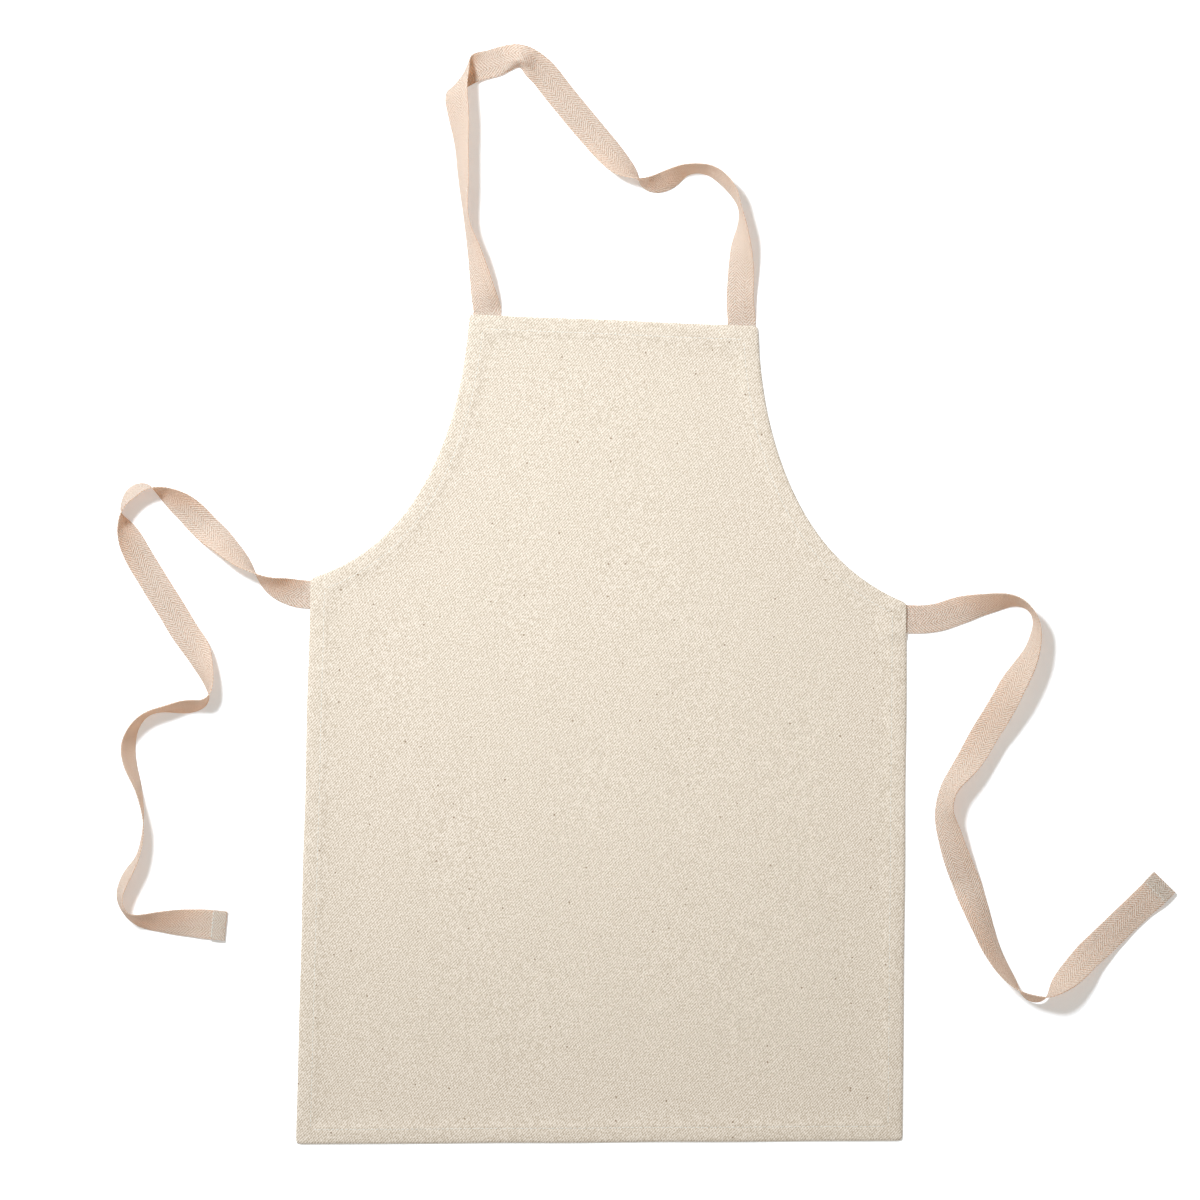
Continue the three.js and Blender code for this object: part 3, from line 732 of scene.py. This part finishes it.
def stitch_row(name, line, upward, margin=1.6 * MM):
    """Stitches along a polyline; upward says which way the outer side of the cloth faces."""
    reach = reach_along(line)
    count = max(1, round((reach[-1] - 2 * margin) / STITCH_PITCH))
    pitch = (reach[-1] - 2 * margin) / count
    bm = bmesh.new()
    for index in range(count):
        middle_at = margin + (index + 0.5) * pitch + stitch_draw.normal(0, STITCH_PLACE_ERROR)
        ends = [np.array([np.interp(middle_at + half, reach, line[:, axis]) for axis in range(3)])
                for half in (-pitch / 2, pitch / 2)]
        along = (ends[1] - ends[0]) / np.linalg.norm(ends[1] - ends[0])
        side = np.cross(upward, along)
        slant = stitch_draw.normal(STITCH_SLANT, STITCH_SLANT_ERROR)
        side = side / np.linalg.norm(side) + along * slant
        outer = np.cross(along, side)
        size = np.array(STITCH_SIZE) * (1 + stitch_draw.normal(0, STITCH_SIZE_ERROR, 3))
        seat = np.eye(4)
        seat[:3, :3] = np.stack([along * size[0], side * size[1], outer * size[2]], 1)
        seat[:3, 3] = (ends[0] + ends[1]) / 2
        bmesh.ops.create_uvsphere(bm, u_segments=6, v_segments=5, radius=0.5,
                                  matrix=Matrix(seat.tolist()) @ POLES_ALONG)
    for face in bm.faces:
        face.smooth = True
    return shown(name, bm)


# %% Seams of the six hems
half_way = len(hem_depths) // 2
off_seam = np.abs(hem_depths - STITCH_INSET)
needle_row = FACE_RINGS + int(np.argmin(off_seam[:half_way]))
bobbin_row = FACE_RINGS + half_way + int(np.argmin(off_seam[half_way:]))
UP, DOWN = np.array([0, 0, 1.0]), np.array([0, 0, -1.0])
seams = {}
for index, name in enumerate(edge_lines):
    stations = slice(edge_start[index], edge_start[index + 1] + 1)
    on_face = places[needle_row, stations] + UP * NEEDLE_RISE
    seams[name + "_needle"] = stitch_row(name + "_needle_stitches", on_face, UP)
    on_back = places[bobbin_row, stations]
    seams[name + "_bobbin"] = stitch_row(name + "_bobbin_stitches", on_back, DOWN)
print(len(seams), "rows of hem stitches")

# %% Seams across the folded ends of the ties
for name in ("left_tie", "right_tie"):
    ribbon = ribbons[name]
    centre, across, face = (part[0] for part in ribbon.at([ribbon.length - TIE_SEAM_INSET]))
    upper = 1 if face[2] > 0 else -1
    for thread, side in (("needle", 1), ("bobbin", -1)):
        out = face * upper * side
        middle_of_row = centre + out * (LAYER_STEP + TAPE_THICKNESS / 2 + TIE_STITCH_RISE)
        line = np.stack([middle_of_row + across * TAPE_WIDTH * half for half in (-0.5, 0, 0.5)])
        row = f"{name}_hem_{thread}"
        seams[row] = stitch_row(row + "_stitches", line, out, TIE_SEAM_MARGIN)

# %% [markdown]
# ## Finishes
#
# Three finishes: cotton twill, herringbone tape and sewing thread. The weaves are real relief, so
# each goes both into the colour, where the hollows between threads are darker, and into a bump.
# The patterns are node groups, because more than one finish uses most of them.

# %% Helpers for shader nodes
def add(tree, kind, settings=None, **inputs):
    """A node of a kind, its settings, and its inputs: values, or sockets to link from."""
    node = tree.nodes.new(kind)
    for setting, value in (settings or {}).items():
        setattr(node, setting, value)
    for name, value in inputs.items():
        socket = node.inputs[int(name[1:]) if name[0] == "_" else name.replace("_", " ")]
        if isinstance(value, bpy.types.NodeSocket):
            tree.links.new(value, socket)
        else:
            socket.default_value = value
    return node


def maths(tree, operation, *values):
    """The result of a Math node on some values or sockets."""
    return add(tree, "ShaderNodeMath", {"operation": operation},
               **{f"_{k}": v for k, v in enumerate(values)}).outputs[0]


def ramp(tree, value, start, end, low=0.0, high=1.0):
    """A smooth change from low to high as value goes from start to end."""
    return add(tree, "ShaderNodeMapRange", {"interpolation_type": "SMOOTHSTEP"},
               Value=value, From_Min=start, From_Max=end, To_Min=low, To_Max=high).outputs[0]


def pattern(name, inputs, outputs):
    """An empty node group with named sockets, and its input and output nodes."""
    group = bpy.data.node_groups.new(name, "ShaderNodeTree")
    for socket, kind in inputs.items():
        group.interface.new_socket(socket, in_out="INPUT", socket_type=kind)
    for socket in outputs:
        group.interface.new_socket(socket, in_out="OUTPUT", socket_type="NodeSocketFloat")
    return group, group.nodes.new("NodeGroupInput"), group.nodes.new("NodeGroupOutput")


NUMBER, VECTOR = "NodeSocketFloat", "NodeSocketVector"

# %% Node group: twill weave
twill, given, result = pattern(
    "Twill weave", {"Place": VECTOR, "Pitch": NUMBER, "Angle": NUMBER}, ["Thread"])
wobble = add(twill, "ShaderNodeTexNoise", Vector=given.outputs["Place"], Scale=210, Detail=2)
turned = add(twill, "ShaderNodeVectorRotate", {"rotation_type": "Z_AXIS"},
             Vector=given.outputs["Place"], Angle=given.outputs["Angle"])
parts = add(twill, "ShaderNodeSeparateXYZ", Vector=turned.outputs[0])
steps = maths(twill, "DIVIDE", parts.outputs["X"], given.outputs["Pitch"])
steps = maths(twill, "ADD", steps, maths(twill, "MULTIPLY", wobble.outputs[0], 0.7))
rib = maths(twill, "SINE", maths(twill, "MULTIPLY", steps, 2 * math.pi))
floats = maths(twill, "DIVIDE", parts.outputs["Y"], given.outputs["Pitch"])
floats = maths(twill, "ADD", floats, maths(twill, "MULTIPLY", steps, 0.5))
bead = maths(twill, "SINE", maths(twill, "MULTIPLY", floats, 2 * math.pi / 1.35))
thread = maths(twill, "MULTIPLY_ADD", rib, 0.33, 0.5)
thread = maths(twill, "MULTIPLY_ADD", bead, 0.17, thread)
twill.links.new(thread, result.inputs["Thread"])

# %% Node group: cotton flecks and slubs
flecks, given, result = pattern(
    "Cotton flecks", {"Place": VECTOR, "Spread": NUMBER, "Size": NUMBER},
    ["Specks", "Slubs", "Mottle"])
cells = add(flecks, "ShaderNodeTexVoronoi", {"voronoi_dimensions": "2D"},
            Vector=given.outputs["Place"], Scale=given.outputs["Spread"], Randomness=1.0)
chance = add(flecks, "ShaderNodeSeparateColor", Color=cells.outputs["Color"])
away = maths(flecks, "DIVIDE", cells.outputs["Distance"], given.outputs["Spread"])
size = maths(flecks, "MULTIPLY", given.outputs["Size"], ramp(flecks, chance.outputs[0], 0.8, 1.0))
away = maths(flecks, "DIVIDE", away, maths(flecks, "ADD", size, 1e-6))
speck = maths(flecks, "SUBTRACT", 1, away)
flecks.links.new(ramp(flecks, speck, 0.0, 0.4), result.inputs["Specks"])
weft = add(flecks, "ShaderNodeMapping", Vector=given.outputs["Place"], Scale=(75, 1500, 1))
slub = add(flecks, "ShaderNodeTexNoise", Vector=weft.outputs[0], Scale=1.0, Detail=1)
flecks.links.new(ramp(flecks, slub.outputs[0], 0.66, 0.80), result.inputs["Slubs"])
mottle = add(flecks, "ShaderNodeTexNoise", Vector=given.outputs["Place"], Scale=160, Detail=2)
flecks.links.new(ramp(flecks, mottle.outputs[0], 0.28, 0.72), result.inputs["Mottle"])

# %% Node group: herringbone
herringbone, given, result = pattern(
    "Herringbone", {"Place": VECTOR, "Column": NUMBER, "Pitch": NUMBER}, ["Thread", "Valley"])
parts = add(herringbone, "ShaderNodeSeparateXYZ", Vector=given.outputs["Place"])
zigzag = maths(herringbone, "PINGPONG", parts.outputs["X"], given.outputs["Column"])
slope = maths(herringbone, "ADD", parts.outputs["Y"], zigzag)
wobble = add(herringbone, "ShaderNodeTexNoise", Vector=given.outputs["Place"], Scale=330, Detail=1)
steps = maths(herringbone, "DIVIDE", slope, given.outputs["Pitch"])
steps = maths(herringbone, "ADD", steps, maths(herringbone, "MULTIPLY", wobble.outputs[0], 0.5))
rib = maths(herringbone, "SINE", maths(herringbone, "MULTIPLY", steps, 2 * math.pi))
herringbone.links.new(maths(herringbone, "MULTIPLY_ADD", rib, 0.5, 0.5), result.inputs["Thread"])
turning = maths(herringbone, "PINGPONG", parts.outputs["X"],
                maths(herringbone, "MULTIPLY", given.outputs["Column"], 0.5))
turning = maths(herringbone, "DIVIDE", turning, given.outputs["Column"])
herringbone.links.new(ramp(herringbone, turning, 0.0, 0.09, 1, 0), result.inputs["Valley"])


# %% [markdown]
# Cotton is dull: high roughness, hardly any mirror shine, and a faint sheen from its fibres. The
# numbers that are the same all over the cloth are set on the shader's own sockets. The tapes are
# thin enough to let light through, which warms the shade inside their folds.

# %% Material parts that the finishes share
COTTON_SHINE = 0.22
COTTON_SHEEN = 0.1
SHEEN_ROUGHNESS = 0.6


def finish(name, roughness):
    """A material with its shader set up as dull cotton, its node tree and the shader."""
    made = bpy.data.materials.new(name)
    made.use_nodes = True
    shader = made.node_tree.nodes["Principled BSDF"]
    shader.inputs["Roughness"].default_value = roughness
    shader.inputs["Specular IOR Level"].default_value = COTTON_SHINE
    shader.inputs["Sheen Weight"].default_value = COTTON_SHEEN
    shader.inputs["Sheen Roughness"].default_value = SHEEN_ROUGHNESS
    return made, made.node_tree, shader


def let_light_through(tree, shader, share, colour):
    """Adds to a cloth's shader the light that comes through it, which its fibres colour."""
    through = tree.nodes.new("ShaderNodeBsdfTranslucent")
    through.inputs["Color"].default_value = (*colour, 1)
    both = tree.nodes.new("ShaderNodeMixShader")
    both.inputs[0].default_value = share
    tree.links.new(shader.outputs[0], both.inputs[1])
    tree.links.new(through.outputs[0], both.inputs[2])
    tree.links.new(both.outputs[0], tree.nodes["Material Output"].inputs["Surface"])


def use(tree, group, **inputs):
    """A shared pattern placed in a material, with its own values."""
    node = tree.nodes.new("ShaderNodeGroup")
    node.node_tree = group
    for name, value in inputs.items():
        if isinstance(value, bpy.types.NodeSocket):
            tree.links.new(value, node.inputs[name])
        else:
            node.inputs[name].default_value = value
    return node


def tint(tree, amount, low, high):
    """The colour low where amount is 0 and high where it is 1."""
    node = add(tree, "ShaderNodeMix", {"data_type": "RGBA"})
    for socket, value in ((node.inputs[0], amount), (node.inputs[6], low), (node.inputs[7], high)):
        if isinstance(value, bpy.types.NodeSocket):
            tree.links.new(value, socket)
        else:
            socket.default_value = (*value, 1) if isinstance(value, tuple) else value
    return node.outputs[2]


# %% Cotton twill
TWILL_ANGLE = math.radians(43)
TWILL_LIGHT = (0.86, 0.755, 0.64)
TWILL_SHADE = (0.44, 0.35, 0.25)
SPECK_BROWN = (0.20, 0.12, 0.06)
SLUB_BROWN = (0.56, 0.42, 0.28)
twill_cloth, tree, shader = finish("natural_cotton_twill", 0.92)
place = add(tree, "ShaderNodeTexCoord").outputs["Object"]
weave = use(tree, twill, Place=place, Pitch=1.45 * MM, Angle=TWILL_ANGLE)
cotton = use(tree, flecks, Place=place, Spread=88.0, Size=0.85 * MM)
grain = add(tree, "ShaderNodeTexNoise", Vector=place, Scale=800, Detail=1).outputs[0]
body = maths(tree, "MULTIPLY_ADD", weave.outputs["Thread"], 0.75,
             maths(tree, "MULTIPLY_ADD", ramp(tree, grain, 0.3, 0.7), 0.45,
                   maths(tree, "MULTIPLY_ADD", cotton.outputs["Mottle"], 0.05, -0.125)))
colour = tint(tree, body, TWILL_SHADE, TWILL_LIGHT)
colour = tint(tree, maths(tree, "MULTIPLY", cotton.outputs["Slubs"], 0.45), colour, SLUB_BROWN)
colour = tint(tree, maths(tree, "MULTIPLY", cotton.outputs["Specks"], 0.75), colour, SPECK_BROWN)
tree.links.new(colour, shader.inputs["Base Color"])
relief = maths(tree, "ADD", weave.outputs["Thread"], maths(tree, "MULTIPLY", grain, 0.8))
bump = add(tree, "ShaderNodeBump", Strength=1.0, Distance=0.2 * MM, Height=relief)
tree.links.new(bump.outputs[0], shader.inputs["Normal"])
tree.links.new(ramp(tree, body, 0, 1, 0.96, 0.86), shader.inputs["Roughness"])

# %% Herringbone tape
TAPE_LIGHT = (0.95, 0.94, 0.84)
TAPE_SHADE = (0.52, 0.42, 0.31)
LIGHT_THROUGH = 0.38
THROUGH_COLOUR = (0.93, 0.55, 0.29)
tape_cloth_finish, tree, shader = finish("cotton_herringbone_tape", 0.9)
ribbon_map = add(tree, "ShaderNodeUVMap", {"uv_map": "cloth"}).outputs[0]
chevrons = use(tree, herringbone, Place=ribbon_map, Column=TAPE_WIDTH / 3, Pitch=2.0 * MM)
cotton = use(tree, flecks, Place=ribbon_map, Spread=60.0, Size=0.6 * MM)
grain = add(tree, "ShaderNodeTexNoise", Vector=ribbon_map, Scale=1100, Detail=2).outputs[0]
grain = ramp(tree, grain, 0.32, 0.68)
body = maths(tree, "MULTIPLY_ADD", chevrons.outputs["Thread"], 0.75,
             maths(tree, "MULTIPLY_ADD", grain, 0.7, -0.18))
body = maths(tree, "SUBTRACT", body, maths(tree, "MULTIPLY", chevrons.outputs["Valley"], 0.12))
colour = tint(tree, body, TAPE_SHADE, TAPE_LIGHT)
colour = tint(tree, maths(tree, "MULTIPLY", cotton.outputs["Specks"], 0.6), colour, SPECK_BROWN)
tree.links.new(colour, shader.inputs["Base Color"])
relief = maths(tree, "MULTIPLY_ADD", grain, 0.7, chevrons.outputs["Thread"])
bump = add(tree, "ShaderNodeBump", Strength=1.0, Distance=0.24 * MM, Height=relief)
tree.links.new(bump.outputs[0], shader.inputs["Normal"])
tree.links.new(ramp(tree, body, 0, 1, 0.95, 0.84), shader.inputs["Roughness"])
let_light_through(tree, shader, LIGHT_THROUGH, THROUGH_COLOUR)

# %% Sewing thread
THREAD_LIGHT = (0.82, 0.79, 0.72)
THREAD_SHADE = (0.68, 0.63, 0.54)
thread_finish, tree, shader = finish("natural_sewing_thread", 0.7)
place = add(tree, "ShaderNodeTexCoord").outputs["Object"]
plies = use(tree, twill, Place=place, Pitch=0.45 * MM, Angle=math.radians(25))
fluff = add(tree, "ShaderNodeTexNoise", Vector=place, Scale=900, Detail=2)
body = maths(tree, "MULTIPLY_ADD", plies.outputs["Thread"], 0.7,
             maths(tree, "MULTIPLY", fluff.outputs[0], 0.4))
tree.links.new(tint(tree, body, THREAD_SHADE, THREAD_LIGHT), shader.inputs["Base Color"])
tree.links.new(ramp(tree, body, 0, 1, 0.8, 0.6), shader.inputs["Roughness"])
bump = add(tree, "ShaderNodeBump", Strength=0.5, Distance=0.05 * MM, Height=body)
tree.links.new(bump.outputs[0], shader.inputs["Normal"])

# %% [markdown]
# ## What each piece is and moves with
#
# The panel and its stitches stay put. Each tape is caught in a hem. Its cloth is left where it
# lies, and the stitches across a tie's folded end go with that tie.

# %% The panel and its seams
panel.data.materials.append(twill_cloth)
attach(panel, "sewn_panel")
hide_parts("apron_panel")
for edge in edge_lines:
    for thread in ("needle", "bobbin"):
        row = seams[f"{edge}_{thread}"]
        row.data.materials.append(thread_finish)
        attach(row, "sewn_panel")
        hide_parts(f"{edge}_{thread}_thread")

# %% The tapes
PATH_POINTS = 400
tape_facts = {
    "neck_strap": ("neck_loop", "neck_left", "object",
                   ["neck_strap", "neck_strap_left_end", "neck_strap_right_end"]),
    "left_tie": ("left_waist_tie", "left_tie", "bare", ["left_tie", "left_tie_sewn_end"]),
    "right_tie": ("right_waist_tie", "right_tie", "bare", ["right_tie", "right_tie_sewn_end"]),
}
for name, (body_name, exit_name, far_end, nodes) in tape_facts.items():
    cloth, ribbon, leaving_at = tapes[name], ribbons[name], exits[exit_name]
    cloth.data.materials.append(tape_cloth_finish)
    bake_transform(cloth)
    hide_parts(*nodes)
    if far_end == "bare":
        for thread in ("needle", "bobbin"):
            row = seams[f"{name}_hem_{thread}"]
            row.data.materials.append(thread_finish)
            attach(row, body_name)
            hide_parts(f"{name}_hem_{thread}_thread")
    line, _, _ = ribbon.at(np.linspace(0, ribbon.length, PATH_POINTS))
    print(name, "is", round(float(ribbon.length), 3), "m long")

# %% Bring the scene up to date
bpy.context.view_layer.update()
